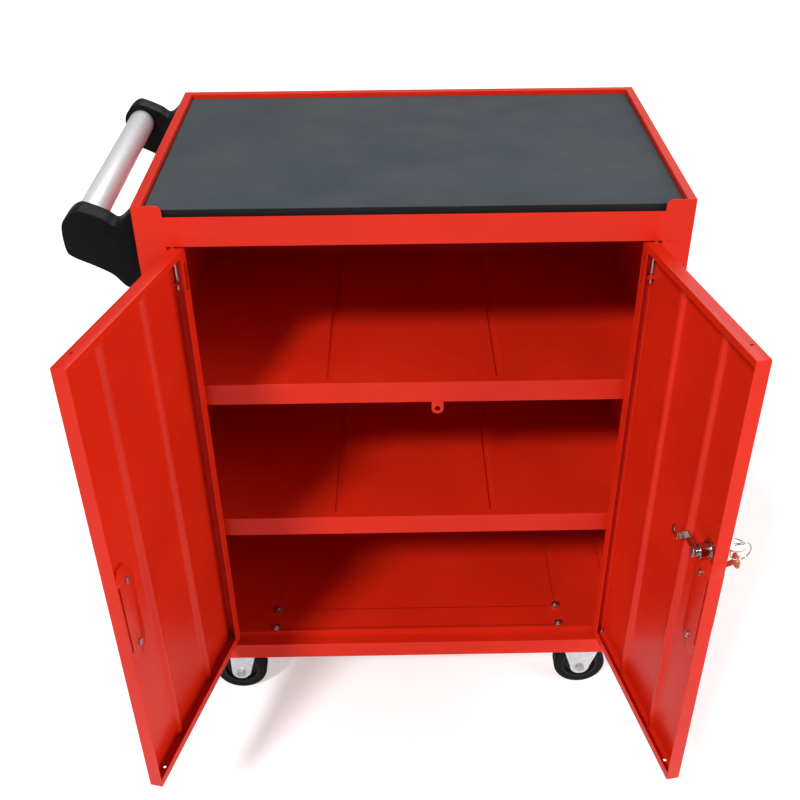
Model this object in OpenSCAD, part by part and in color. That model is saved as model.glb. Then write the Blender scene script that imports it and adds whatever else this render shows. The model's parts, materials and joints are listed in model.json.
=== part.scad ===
// Two-door tool cabinet on four casters, both doors swung open at rest.
// Millimetres. X runs across the front, Y runs into the cabinet, Z is up.

/* [Cabinet] */
// Width over the side panels
case_w = 600; // [540:1:700]
// Depth from the front face to the back
case_d = 390; // [340:1:460]
// Height from the underside of the case to the worktop rim
case_h = 676.5; // [640:0.5:760]
// Thickness of the cabinet sheet
sheet_t = 1.2; // [0.9:0.1:1.5]
// Width of each front post
post_w = 32; // [30:0.5:42]
// Depth of each front post
post_d = 18; // [17:0.5:19]
// Height of the bottom rail up to the hinge ledge
ledge_h = 26; // [24:0.5:32]
// Depth of the hinge ledge
ledge_d = 20; // [19:0.5:21]
// Rise from the hinge ledge to the floor
riser_h = 6.5; // [4:0.5:9]
// Width of the flange that carries the back panel
back_flange = 20; // [12:1:30]
// Width of the channels under the floor
channel_w = 108; // [104:1:120]

/* [Worktop] */
// Width of the raised rim
rim_w = 10.5; // [8:0.5:14]
// Height of the rim above the tray deck
rim_h = 14.5; // [12:0.5:18]
// Drop from the rim to the front lip
lip_drop = 13; // [8:0.5:13.5]
// Drop from the rim to the top of the door opening
rail_drop = 46.5; // [42:0.5:60]
// Width of each ear beside the front lip
ear_w = 32; // [26:0.5:40]
// Corner radius of each ear
ear_r = 7; // [3:0.5:7.5]
// Thickness of the mat
mat_t = 4.5; // [3:0.5:7]
// Distance of the mat behind the front face
mat_front = 12; // [4:1:20]

/* [Shelves] */
// Height of the upper shelf above the underside of the case
upper_shelf_h = 441.5; // [410:0.5:480]
// Height of the lower shelf above the underside of the case
lower_shelf_h = 236; // [190:0.5:250]
// Distance of the shelf front behind the front face
shelf_front = 24; // [23:0.5:40]
// Height of the shelf's front lip
shelf_lip = 28; // [22:0.5:34]
// Height of the shelf's side and rear lips
side_lip = 20; // [14:0.5:22]
// Distance of each pressed groove from the middle
groove_x = 103; // [60:1:150]
// Width of a pressed groove
groove_w = 9; // [6:0.5:14]
// Depth of a pressed groove
groove_depth = 3; // [1.5:0.5:4]

/* [Doors] */
// Opening angle of the left door at rest
left_open = 104.7; // [60:0.1:110]
// Opening angle of the right door at rest
right_open = 101.4; // [60:0.1:110]
// Thickness of a door over its flanges
door_t = 16; // [14:0.5:16.5]
// Thickness of the door sheet
skin_t = 1; // [0.8:0.1:1.4]
// Gap between a door and its post
side_gap = 2; // [2:0.1:4]
// Gap between the two doors when shut
mid_gap = 1; // [1:0.1:3]
// Gap between the door tops and the top rail
top_gap = 2; // [1.5:0.1:4]
// Height of the return lip at the top of a door
door_top_lip = 8; // [6:0.5:14]
// Height of the return lip at the bottom of a door
door_low_lip = 12; // [8:0.5:20]
// Width of the return lip on the hinge side
hinge_lip = 14; // [12:0.5:20]
// Distance of the nearer pressed rib from the closing edge
rib_in = 84.5; // [76:0.5:90]
// Distance between the two pressed ribs
rib_pitch = 98; // [80:1:105]
// Width of a pressed rib at its foot
rib_w = 18; // [12:1:24]
// Height of a pressed rib
rib_h = 5; // [3:0.5:8]

/* [Hinge pins] */
// Diameter of a hinge pin
pin_d = 3.6; // [3:0.1:4]
// Distance of the pin from the hinge edge of the door
pin_in = 3.6; // [3.5:0.1:4]
// Distance of the pin behind the outer face of the door
pin_deep = 3.6; // [3.5:0.1:4]
// Length of the slot that shows a hinge pin
pin_slot = 32; // [26:1:40]

/* [Pulls] */
// Distance of the pull from the closing edge
pull_in = 37.5; // [34:0.5:44]
// Drop of the pull's middle below the lock
pull_drop = 82; // [76:0.5:100]
// Distance between the feet of a pull
pull_span = 93; // [80:1:110]
// Reach of a pull in front of the door
pull_reach = 24; // [22:0.5:34]
// Diameter of a pull's bar
pull_d = 8; // [7:0.5:9]
// Rise of the backing plate above the door skin
plate_rise = 4; // [3:0.5:6]

/* [Lock] */
// Distance of the lock from the closing edge
lock_in = 33.5; // [32:0.5:40]
// Drop of the lock below the upper shelf
lock_drop = 63.5; // [62:0.5:70]
// Length of the cam from the lock axis to its tip
cam_len = 38; // [34:0.5:39]
// Angle of the cam above the level at rest
cam_tilt = 10; // [0:1:20]
// Diameter of the lock plug
plug_d = 11; // [10:0.5:12]
// Radius of the key ring
ring_r = 12; // [12:0.5:13]
// Thickness of the key ring's wire
ring_wire = 1.4; // [1.2:0.1:1.4]

/* [Side handle] */
// Diameter of the handle tube
tube_d = 32; // [26:0.5:33]
// Distance of the tube's axis from the side panel
tube_out = 57; // [56:0.5:59]
// Drop of the tube's axis below the rim
tube_drop = 30; // [28:0.5:31]
// Width of each handle arm
arm_w = 28; // [22:1:34]
// Distance of each arm from the front or back face
arm_inset = 4; // [2:0.5:10]

/* [Casters] */
// Height of the casters
caster_h = 95.5; // [94:0.5:106]
// Diameter of a wheel
wheel_d = 75; // [68:1:76]
// Width of a wheel
wheel_w = 24; // [20:1:25]
// Distance of each caster from the front or back face
caster_y = 45; // [44:1:60]
// Distance of the fixed casters from the side panel
fixed_in = 57; // [54:1:58]
// Distance of the swivel casters from the side panel
swivel_in = 60; // [54:1:61]
// Offset of a swivel wheel's axle from its kingpin
trail = 21; // [18:1:22]

/* [Hidden] */
$fn = 72;

// Cuts run this far past the face they open
past = 1;
// Radial clearance of a pin that turns in its hole
run_gap = 0.05;
// Radial clearance of a fastener in its hole
free_gap = 0.3;

// Levels and widths of the case
half_w = case_w / 2;
inner_x = half_w - sheet_t;
inner_back = case_d - 2 * sheet_t;
open_x = half_w - post_w;
base_z = caster_h;
ledge_z = base_z + ledge_h;
floor_z = ledge_z + riser_h;
rim_z = base_z + case_h;
deck_z = rim_z - rim_h;
lip_z = rim_z - lip_drop;
rail_z = rim_z - rail_drop;
upper_z = base_z + upper_shelf_h;
lower_z = base_z + lower_shelf_h;
rim_foot_gap = 3;

// Door leaf, drawn with X from the hinge edge and Y from the outer face inwards
foot_gap = 11;
door_w = open_x - side_gap - mid_gap / 2;
door_z0 = ledge_z + foot_gap;
door_z1 = rail_z - top_gap;
pivot_x = open_x - side_gap - pin_in;
pivot_y = pin_deep;
rib_z0 = door_z0 + 2;
rib_z1 = door_z1 - 2;
rib_slope = 6;
vent_d = 4;
vent_in = 29;
vent_deep = 6;

// Hinge pins, measured down from the door top or up from the door foot
pin_above = 7.5;
pin_length = 57;
foot_pin_below = 16.5;
foot_pin_above = 10;
slot_start = 15.5;
slot_w = 5;
slot_in = 2.2;
guide_start = 39.5;
guide_t = 1.5;
guide_w = 12;
guide_deep = 10;
collar_d = 4.8;
collar_h = 3;

// Pulls and their backing plates
pull_s = door_w - pull_in;
pull_bend = 8;
pull_axis = pull_reach - pull_d / 2;
foot_d = 12;
foot_t = 2;
screw_d = 4;
screw_bore = 10;
screw_head_d = 8;
screw_head_h = 2.4;
screw_slot = 1;
plate_t = 1.2;
plate_w = 40;
plate_half = 69;
plate_chamfer = 18;
plate_peak = 14;
plate_lead = 14;
slit_w = 2;
slit_len = 96;
slit_in = 17;

// Lock, key and ring, centred on the lock axis
lock_s = door_w - lock_in;
lock_z = upper_z - lock_drop;
pull_z = lock_z - pull_drop;
barrel_d = 17;
barrel_flange_d = 22;
barrel_flange_t = 2.5;
barrel_end = 16.5;
lock_nut_d = 25;
lock_nut_t = 4;
plug_end = 17.5;
cam_t = 2;
cam_w = 11;
cam_crank = 10.5;
cam_knee = 24;
cam_square = 7;
square_gap = 0.1;
hook_w = 5;
cam_bolt_d = 12;
cam_bolt_h = 4;
cam_bolt_shank = 4;
cam_bolt_in = 7;
strap_h = 20;
strap_t = 0.8;
strap_skin = 0.4;
strap_start = 14.5;
key_t = 2;
key_w = 7;
key_in = 11;
key_slot_gap = 0.2;
key_slot_end = 12;
bow_r = 11;
bow_n = -27;
bow_hole_d = 7;
bow_hole_n = -28.2;
ring_n = -35;
ring_drop = ring_r - 2.3;
ring_z = lock_z - ring_drop;
spare_tilt = 40;
spare_hole_d = 5;
spare_seat = 0.08;
spare_bow_r = 9;
spare_blade = 20;
spare_blade_w = 6;

// Catch tab under the upper shelf, just beside the shut lock
tab_w = 15;
tab_t = 1.5;
tab_x = mid_gap / 2 + lock_in - 6.5;
tab_eye_d = 7;
tab_drop = 38.5;
tab_top = 12;

// Side handle: key points of an arm as distance out from the panel and drop below the rim
arm_points = [
    [0, 8], [5, 11], [20, 23], [32, 16], [50, 8], [60, 6], [71, 13], [78, 25],
    [78, 49.5], [72, 58.5], [51, 69], [32, 80], [18, 95], [0, 97]
];
arm_steps = 6;
tube_wall = 1.5;
tube_in = 12;
arm_bolt_drops = [36, 70];
arm_bolt_d = 5;
arm_bolt_len = 28;
arm_bolt_head_d = 11;
arm_bolt_head_h = 3.5;
arm_bolt_y = 10;

// Casters
caster_plate = [95, 65, 2.5];
bolt_pitch = [79, 38];
bolt_d = 6;
bolt_head_d = 11.5;
bolt_head_h = 4;
nut_h = 5;
bolt_past_nut = 1.5;
plate_z = base_z - caster_plate[2];
axle_z = wheel_d / 2;
axle_d = 8;
axle_head_d = 13;
axle_head_h = 4;
fork_t = 2.5;
fork_w = 34;
fork_half = 31;
fork_foot_r = 14;
fork_shoulder = 4.5;
race_r = 29;
race_bore = 11;
race_gap = 0.3;
disc_r = 27;
disc_t = 2.5;
disc_z = base_z - 9;
kingpin_d = 10;
kingpin_head_d = 18;
kingpin_head_h = 3;
hub_r = 27;
hub_boss_r = 9;
hub_boss_w = 28;
hub_web_w = 14;
hub_rim_t = 4;
tread_r = 4;
fixed_x = half_w - fixed_in;
swivel_x = swivel_in - half_w;
caster_ys = [caster_y, case_d - caster_y];

// Bracket clips on the side panels
clip_w = 25;
clip_reach = 14;
clip_h = 14;
clip_ys = [50, case_d - 75];

// One span of a smooth curve through b and c, with a and d as its neighbours
function span_point(a, b, c, d, t) =
    0.5 * (2 * b + (c - a) * t + (2 * a - 5 * b + 4 * c - d) * t * t
    + (3 * b - a - 3 * c + d) * t * t * t);

// Smooth curve through a list of points, with steps pieces in each span
function smooth_curve(p, steps) = concat(
    [for (i = [0 : len(p) - 2]) for (j = [0 : steps - 1])
        span_point(p[max(i - 1, 0)], p[i], p[i + 1], p[min(i + 2, len(p) - 1)], j / steps)],
    [p[len(p) - 1]]
);

arm_curve = smooth_curve(arm_points, arm_steps);
arm_outline = [for (p = arm_curve) [-half_w - p[0], rim_z - p[1]]];

// X and Y in the cabinet of a point on a door, for the right door
function right_x(s, n) =
    pivot_x + (pin_in - s) * cos(right_open) - (n - pin_deep) * sin(right_open);
function right_y(s, n) =
    pivot_y + (pin_in - s) * sin(right_open) + (n - pin_deep) * cos(right_open);
function left_y(s, n) =
    pivot_y + (pin_in - s) * sin(left_open) + (n - pin_deep) * cos(left_open);

// Outer limits of the whole cabinet, used to set its origin under its middle
min_x = min([for (p = arm_outline) p[0]]);
max_x = right_x(lock_s, ring_n) + ring_r * sin(right_open) + ring_wire / 2;
right_front = min(right_y(door_w + strap_skin, door_t + strap_skin), right_y(door_w, door_t));
left_front = min(left_y(door_w, door_t), left_y(door_w, 0));
min_y = min(right_front, left_front);
shift_x = -(min_x + max_x) / 2;
shift_y = -(min_y + case_d) / 2;

// Moves the cabinet so its origin lies on the ground under its middle
module placed() {
    translate([shift_x, shift_y, 0]) children();
}

// Box between two corners
module block(x0, x1, y0, y1, z0, z1) {
    translate([x0, y0, z0]) cube([x1 - x0, y1 - y0, z1 - z0]);
}

// Same thing on the left side when side is -1
module flip(side) {
    if (side < 0) mirror([1, 0, 0]) children();
    else children();
}

// Round bar along X, Y or Z between two values
module rod_x(x0, x1, y, z, d) {
    translate([x0, y, z]) rotate([0, 90, 0]) cylinder(h = x1 - x0, d = d);
}
module rod_y(x, y0, y1, z, d) {
    translate([x, y0, z]) rotate([-90, 0, 0]) cylinder(h = y1 - y0, d = d);
}
module rod_z(x, y, z0, z1, d) {
    translate([x, y, z0]) cylinder(h = z1 - z0, d = d);
}

// Flat shape drawn in X and Z, given a thickness along Y
module along_y(y0, y1) {
    translate([0, y1, 0]) rotate([90, 0, 0]) linear_extrude(y1 - y0) children();
}

// Puts a shape drawn on a door in its place on the opened door
module on_door(side) {
    if (side > 0)
        translate([pivot_x, pivot_y, 0])
            rotate([0, 0, right_open])
            mirror([1, 0, 0])
            translate([-pin_in, -pin_deep, 0])
            children();
    else
        translate([-pivot_x, pivot_y, 0])
            rotate([0, 0, -left_open])
            translate([-pin_in, -pin_deep, 0])
            children();
}

// Side panel with its front post and rear flange, drawn for the right side
module side_panel() {
    block(inner_x, half_w, 0, case_d, base_z, rail_z);
    block(open_x, half_w, 0, sheet_t, base_z, rail_z);
    block(open_x, open_x + sheet_t, 0, post_d, base_z, rail_z);
    block(open_x, half_w, post_d - sheet_t, post_d, base_z, rail_z);
    block(half_w - back_flange, half_w, inner_back, case_d - sheet_t, base_z, rail_z);
}

// Y of the two arm bolts
arm_bolt_ys = [arm_bolt_y, case_d - arm_bolt_y];

// Holes for the handle bolts through the left wall
module arm_bolt_holes() {
    for (y = arm_bolt_ys)
        for (drop = arm_bolt_drops)
            rod_x(-half_w - past, -inner_x + past, y, rim_z - drop, arm_bolt_d + 2 * free_gap);
}

module left_side_panel() {
    color("red") placed() difference() {
        flip(-1) side_panel();
        arm_bolt_holes();
    }
}

module right_side_panel() {
    color("red") placed() side_panel();
}

module back_panel() {
    color("red") placed() block(-inner_x, inner_x, case_d - sheet_t, case_d, base_z, rail_z);
}

// Repeats a shape at every caster bolt
module at_caster_bolts() {
    for (x = [fixed_x, swivel_x])
        for (y = caster_ys)
            for (i = [-1, 1])
                for (j = [-1, 1])
                    translate([x + i * bolt_pitch[0] / 2, y + j * bolt_pitch[1] / 2, 0])
                        children();
}

// Holes for the caster bolts between two heights
module caster_bolt_holes(z0, z1) {
    at_caster_bolts() rod_z(0, 0, z0, z1, bolt_d + 2 * free_gap);
}

// Holes for the hinge pins between two heights
module hinge_pin_holes(z0, z1) {
    for (side = [-1, 1])
        rod_z(side * pivot_x, pivot_y, z0, z1, pin_d + 2 * run_gap);
}

module floor_pan() {
    color("red") placed() difference() {
        union() {
            block(-open_x, open_x, 0, sheet_t, base_z, ledge_z);
            block(-open_x, open_x, 0, ledge_d, base_z, base_z + sheet_t);
            block(-open_x, open_x, 0, ledge_d + sheet_t, ledge_z - sheet_t, ledge_z);
            block(-open_x, open_x, ledge_d, ledge_d + sheet_t, ledge_z - sheet_t, floor_z);
            block(-inner_x, inner_x, ledge_d, inner_back, floor_z - sheet_t, floor_z);
        }
        hinge_pin_holes(ledge_z - sheet_t - past, ledge_z + past);
        caster_bolt_holes(floor_z - sheet_t - past, floor_z + past);
    }
}

// Two channels from front to back that carry the casters
module floor_channels() {
    front = ledge_d + sheet_t;
    top = floor_z - sheet_t;
    color("red") placed() difference() {
        for (side = [-1, 1]) flip(side) {
            block(inner_x - channel_w, inner_x, front, inner_back, base_z, base_z + sheet_t);
            block(inner_x - sheet_t, inner_x, front, inner_back, base_z, top);
            block(inner_x - channel_w, inner_x - channel_w + sheet_t, front, inner_back, base_z, top);
        }
        caster_bolt_holes(base_z - past, base_z + sheet_t + past);
    }
}

// Ear that rises beside the front lip, drawn for the right side
module ear() {
    along_y(0, sheet_t) {
        translate([half_w - ear_w, lip_z - past])
            square([ear_w, lip_drop - ear_r + past]);
        translate([half_w - ear_w + ear_r, rim_z - 2 * ear_r])
            square([ear_w - ear_r, 2 * ear_r]);
        translate([half_w - ear_w + ear_r, rim_z - ear_r])
            circle(ear_r);
    }
}

module worktop_tray() {
    rim_x = half_w - rim_w;
    rim_y = case_d - rim_w;
    foot_z = deck_z + rim_foot_gap;
    color("red") placed() difference() {
        union() {
            block(-half_w, half_w, 0, sheet_t, rail_z, lip_z);
            block(-inner_x, inner_x, 0, post_d, rail_z, rail_z + sheet_t);
            block(-inner_x, inner_x, 0, case_d, deck_z - sheet_t, deck_z);
            for (side = [-1, 1]) flip(side) {
                ear();
                block(inner_x, half_w, 0, case_d, rail_z, rim_z);
                block(rim_x, half_w, 0, case_d, rim_z - sheet_t, rim_z);
                block(rim_x, rim_x + sheet_t, 0, case_d, foot_z, rim_z);
            }
            block(-half_w, half_w, case_d - sheet_t, case_d, rail_z, rim_z);
            block(-half_w, half_w, rim_y, case_d, rim_z - sheet_t, rim_z);
            block(-rim_x, rim_x, rim_y, rim_y + sheet_t, foot_z, rim_z);
        }
        hinge_pin_holes(rail_z - past, rail_z + sheet_t + past);
        arm_bolt_holes();
    }
}

module worktop_mat() {
    mat_x = half_w - rim_w - 0.5;
    mat_back = case_d - rim_w - 0.5;
    color("dimgray") placed() block(-mat_x, mat_x, mat_front, mat_back, deck_z, deck_z + mat_t);
}

// Section of a pressed groove or rib, w wide and h high, narrower at its top
module pressed_section(w, h, narrowing) {
    polygon([
        [-w / 2, 0], [-w / 2 + narrowing, h],
        [w / 2 - narrowing, h], [w / 2, 0]
    ]);
}

// Shelf with its top at height z
module shelf(z) {
    groove_y0 = shelf_front + 12;
    groove_y1 = inner_back - 12;
    under = z - sheet_t;
    difference() {
        union() {
            block(-inner_x, inner_x, shelf_front, inner_back, under, z);
            block(-inner_x, inner_x, shelf_front, shelf_front + sheet_t, z - shelf_lip, z);
            block(-inner_x, inner_x, inner_back - sheet_t, inner_back, z - side_lip, z);
            for (side = [-1, 1]) flip(side) {
                block(inner_x - sheet_t, inner_x, shelf_front, inner_back, z - side_lip, z);
                block(
                    groove_x - groove_w / 2 - sheet_t, groove_x + groove_w / 2 + sheet_t,
                    groove_y0 - sheet_t, groove_y1 + sheet_t, under - groove_depth, z
                );
            }
        }
        for (side = [-1, 1])
            along_y(groove_y0, groove_y1)
                translate([side * groove_x, z])
                mirror([0, 1])
                pressed_section(groove_w, groove_depth, groove_w / 4);
    }
}

module upper_shelf() {
    color("darkred") placed() shelf(upper_z);
}

module lower_shelf() {
    color("darkred") placed() shelf(lower_z);
}

// Angle clips on the side panels, under the side lips of both shelves
module shelf_brackets() {
    color("red") placed()
        for (z = [upper_z - side_lip, lower_z - side_lip])
            for (y = clip_ys)
                for (side = [-1, 1]) flip(side) {
                    block(inner_x - clip_reach, inner_x, y, y + clip_w, z - sheet_t, z);
                    block(inner_x - sheet_t, inner_x, y, y + clip_w, z - clip_h, z);
                }
}

// Tab with an eye that the lock's cam turns up behind
module catch_tab() {
    eye_z = upper_z - tab_drop;
    tab_y = shelf_front + sheet_t;
    color("red") placed() along_y(tab_y, tab_y + tab_t) difference() {
        union() {
            translate([tab_x - tab_w / 2, eye_z])
                square([tab_w, tab_drop - tab_top]);
            translate([tab_x, eye_z])
                circle(d = tab_w);
        }
        translate([tab_x, eye_z])
            circle(d = tab_eye_d);
    }
}

// Front and back faces of the two handle arms
arm_spans = [
    [arm_inset, arm_inset + arm_w],
    [case_d - arm_inset - arm_w, case_d - arm_inset]
];
tube_x = -half_w - tube_out;
tube_z = rim_z - tube_drop;
tube_y0 = arm_inset + arm_w - tube_in;

module handle_arms() {
    color("black") placed() difference() {
        for (span = arm_spans)
            along_y(span[0], span[1]) polygon(arm_outline);
        rod_y(tube_x, tube_y0, case_d - tube_y0, tube_z, tube_d + 2 * free_gap);
        for (y = arm_bolt_ys)
            for (drop = arm_bolt_drops)
                rod_x(
                    -half_w - arm_bolt_len - past, -half_w + past,
                    y, rim_z - drop, arm_bolt_d + 2 * free_gap
                );
    }
}

module handle_tube() {
    color("gainsboro") placed() difference() {
        rod_y(tube_x, tube_y0, case_d - tube_y0, tube_z, tube_d);
        rod_y(tube_x, tube_y0 - past, case_d - tube_y0 + past, tube_z, tube_d - 2 * tube_wall);
    }
}

// Bolts from inside the cabinet into the handle arms
module handle_bolts() {
    color("silver") placed()
        for (y = arm_bolt_ys)
            for (drop = arm_bolt_drops) {
                rod_x(-half_w - arm_bolt_len, -inner_x, y, rim_z - drop, arm_bolt_d);
                rod_x(-inner_x, -inner_x + arm_bolt_head_h, y, rim_z - drop, arm_bolt_head_d);
            }
}

// Repeats a shape at the top and, turned over, at the foot of a door
module at_door_ends() {
    translate([0, 0, door_z1]) children();
    translate([0, 0, door_z0]) mirror([0, 0, 1]) children();
}

// Repeats a shape at both feet of a pull
module at_pull_feet() {
    for (i = [-1, 1])
        translate([pull_s, 0, pull_z + i * pull_span / 2]) children();
}

// Door leaf: a shallow pan with return lips, pin guides and two pressed ribs
module door_leaf() {
    lip_n = door_t - skin_t;
    rib_s = [door_w - rib_in - rib_pitch, door_w - rib_in];
    difference() {
        union() {
            difference() {
                block(0, door_w, 0, door_t, door_z0, door_z1);
                block(
                    skin_t, door_w - skin_t, skin_t, door_t + past,
                    door_z0 + skin_t, door_z1 - skin_t
                );
            }
            block(0, door_w, lip_n, door_t, door_z1 - door_top_lip, door_z1);
            block(0, door_w, lip_n, door_t, door_z0, door_z0 + door_low_lip);
            block(0, hinge_lip, lip_n, door_t, door_z0, door_z1);
            translate([0, 0, door_z1])
                block(0, guide_w, 0, guide_deep, -guide_start - guide_t, -guide_start);
            for (s = rib_s)
                translate([s, skin_t, rib_z0])
                    linear_extrude(rib_z1 - rib_z0)
                    pressed_section(rib_w, rib_h, rib_slope);
        }
        for (s = rib_s)
            translate([s, 0, rib_z0 + skin_t])
                linear_extrude(rib_z1 - rib_z0 - 2 * skin_t)
                pressed_section(rib_w - 2 * skin_t, rib_h, rib_slope);
        at_door_ends() {
            rod_z(pin_in, pin_deep, -skin_t - past, past, pin_d + 2 * run_gap);
            rod_z(door_w - vent_in, vent_deep, -skin_t - past, past, vent_d);
        }
        translate([0, 0, door_z1 - guide_start])
            rod_z(pin_in, pin_deep, -guide_t - past, past, pin_d + 2 * run_gap);
        translate([0, 0, door_z1 - slot_start])
            block(slot_in, slot_in + slot_w, lip_n - past, door_t + past, -pin_slot, 0);
        at_pull_feet() rod_y(0, -past, skin_t + past, 0, screw_d + 2 * free_gap);
    }
}

module left_door_leaf() {
    color("red") placed() on_door(-1) door_leaf();
}

module right_door_leaf() {
    color("red") placed() on_door(1) difference() {
        door_leaf();
        rod_y(lock_s, -past, skin_t + past, lock_z, barrel_d + 2 * free_gap);
    }
}

// Spring pin at the top of a door and pivot pin at its foot, each with a collar
module hinge_pins() {
    translate([0, 0, door_z1]) {
        rod_z(pin_in, pin_deep, pin_above - pin_length, pin_above, pin_d);
        rod_z(pin_in, pin_deep, -guide_start, -guide_start + collar_h, collar_d);
    }
    translate([0, 0, door_z0]) {
        rod_z(pin_in, pin_deep, -foot_pin_below, foot_pin_above, pin_d);
        rod_z(pin_in, pin_deep, skin_t, skin_t + collar_h, collar_d);
    }
}

module left_hinge_pins() {
    color("silver") placed() on_door(-1) hinge_pins();
}

module right_hinge_pins() {
    color("silver") placed() on_door(1) hinge_pins();
}

// Quarter of a ring in the Y-Z plane, bent from +Z towards -Y
module quarter_bend(r, d) {
    intersection() {
        rotate([0, 90, 0]) rotate_extrude() translate([r, 0]) circle(d = d);
        block(-d, d, -r - d, 0, 0, r + d);
    }
}

// Bowed pull in front of the door skin
module pull() {
    straight = pull_axis - pull_bend;
    reach_z = pull_span / 2 - pull_bend;
    difference() {
        union() {
            at_pull_feet() {
                rod_y(0, -straight, 0, 0, pull_d);
                rod_y(0, -foot_t, 0, 0, foot_d);
            }
            for (i = [0, 1])
                translate([pull_s, -straight, pull_z])
                    mirror([0, 0, i])
                    translate([0, 0, reach_z])
                    quarter_bend(pull_bend, pull_d);
            rod_z(pull_s, -pull_axis, pull_z - reach_z, pull_z + reach_z, pull_d);
        }
        at_pull_feet() rod_y(0, -screw_bore, past, 0, screw_d + 2 * free_gap);
    }
}

module left_pull() {
    color("black") placed() on_door(-1) pull();
}

module right_pull() {
    color("black") placed() on_door(1) pull();
}

// Outline of the backing plate in X and Z, inset by e
module plate_outline(e) {
    s0 = pull_s - plate_lead + e;
    s1 = pull_s - plate_lead + plate_w - e;
    cut = (plate_w - plate_peak) / 2;
    z = plate_half - e;
    shoulder = plate_half - plate_chamfer - e / 2;
    polygon([
        [s0, pull_z - shoulder], [s0 + cut, pull_z - z], [s1 - cut, pull_z - z],
        [s1, pull_z - shoulder], [s1, pull_z + shoulder], [s1 - cut, pull_z + z],
        [s0 + cut, pull_z + z], [s0, pull_z + shoulder]
    ]);
}

// Raised backing plate inside the door, with a long slit beside the screws
module pull_plate() {
    top = skin_t + plate_rise;
    slit_s = pull_s + slit_in;
    difference() {
        along_y(skin_t, top) plate_outline(0);
        along_y(skin_t - past, top - plate_t) plate_outline(plate_t);
        block(
            slit_s - slit_w / 2, slit_s + slit_w / 2, skin_t, top + past,
            pull_z - slit_len / 2, pull_z + slit_len / 2
        );
        at_pull_feet() rod_y(0, skin_t, top + past, 0, screw_d + 2 * free_gap);
    }
}

module left_pull_plate() {
    color("red") placed() on_door(-1) pull_plate();
}

module right_pull_plate() {
    color("red") placed() on_door(1) pull_plate();
}

// Slotted screws through the plate and the skin into a pull's feet
module pull_screws() {
    seat = skin_t + plate_rise;
    at_pull_feet() {
        rod_y(0, -screw_bore + past, seat, 0, screw_d);
        difference() {
            rod_y(0, seat, seat + screw_head_h, 0, screw_head_d);
            block(
                -screw_head_d, screw_head_d, seat + screw_head_h / 2, seat + screw_head_h + past,
                -screw_slot / 2, screw_slot / 2
            );
        }
    }
}

module left_pull_screws() {
    color("silver") placed() on_door(-1) pull_screws();
}

module right_pull_screws() {
    color("silver") placed() on_door(1) pull_screws();
}

// Puts a shape drawn round the lock axis on the right door
module at_lock() {
    placed() on_door(1) translate([lock_s, 0, lock_z]) children();
}

module lock_barrel() {
    color("silver") at_lock() difference() {
        union() {
            rod_y(0, -barrel_flange_t, 0, 0, barrel_flange_d);
            rod_y(0, 0, barrel_end, 0, barrel_d);
        }
        rod_y(0, -barrel_flange_t - past, barrel_end + past, 0, plug_d + 2 * run_gap);
    }
}

// Hexagonal nut that clamps the barrel to the skin
module lock_nut() {
    color("silver") at_lock() difference() {
        translate([0, skin_t, 0]) rotate([-90, 0, 0])
            cylinder(h = lock_nut_t, d = lock_nut_d, $fn = 6);
        rod_y(0, skin_t - past, skin_t + lock_nut_t + past, 0, barrel_d + 2 * free_gap);
    }
}

// Strap that wraps the closing edge beside the lock
module lock_strap() {
    start = lock_s + strap_start;
    inner = door_w - skin_t;
    over = door_t + strap_skin;
    color("red") placed() on_door(1)
        translate([0, 0, lock_z - strap_h / 2])
        linear_extrude(strap_h)
        polygon([
            [start, skin_t], [inner, skin_t], [inner, door_t], [door_w, door_t],
            [door_w, 2 * skin_t], [door_w + strap_skin, 2 * skin_t], [door_w + strap_skin, over],
            [inner - strap_t, over], [inner - strap_t, skin_t + strap_t], [start, skin_t + strap_t]
        ]);
}

// Plug with the key slot in front and the cam's square behind
module lock_plug() {
    half_square = cam_square / 2;
    slot_half = key_w / 2 + key_slot_gap;
    slot_deep = key_t / 2 + key_slot_gap;
    color("silver") at_lock() difference() {
        union() {
            rod_y(0, -barrel_flange_t, plug_end, 0, plug_d);
            rotate([0, cam_tilt, 0])
                block(
                    -half_square, half_square, plug_end - past, plug_end + cam_t,
                    -half_square, half_square
                );
        }
        block(
            -slot_half, slot_half, -barrel_flange_t - past, key_slot_end,
            -slot_deep, slot_deep
        );
        rod_y(
            0, plug_end + cam_t - cam_bolt_in - past, plug_end + cam_t + past,
            0, cam_bolt_shank + 2 * free_gap
        );
    }
}

// Cranked cam with a hooked tip, pointing to the hinge side at rest
module lock_cam() {
    hole = cam_square / 2 + square_gap;
    low = plug_end;
    high = plug_end + cam_crank;
    color("silver") at_lock() rotate([0, cam_tilt, 0]) difference() {
        union() {
            rod_y(0, low, low + cam_t, 0, cam_w);
            block(-cam_knee, 0, low, low + cam_t, -cam_w / 2, cam_w / 2);
            block(-cam_knee - cam_t, -cam_knee, low, high + cam_t, -cam_w / 2, cam_w / 2);
            block(-cam_len, -cam_knee, high, high + cam_t, -cam_w / 2, 0);
            block(-cam_len, -cam_len + hook_w, high, high + cam_t, -cam_w / 2, cam_w / 2 + 1);
        }
        block(-hole, hole, low - past, low + cam_t + past, -hole, hole);
    }
}

// Bolt that holds the cam on the plug
module cam_bolt() {
    seat = plug_end + cam_t;
    color("silver") at_lock() {
        translate([0, seat, 0]) rotate([-90, 0, 0])
            cylinder(h = cam_bolt_h, d = cam_bolt_d, $fn = 6);
        rod_y(0, seat - cam_bolt_in, seat, 0, cam_bolt_shank);
    }
}

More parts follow.
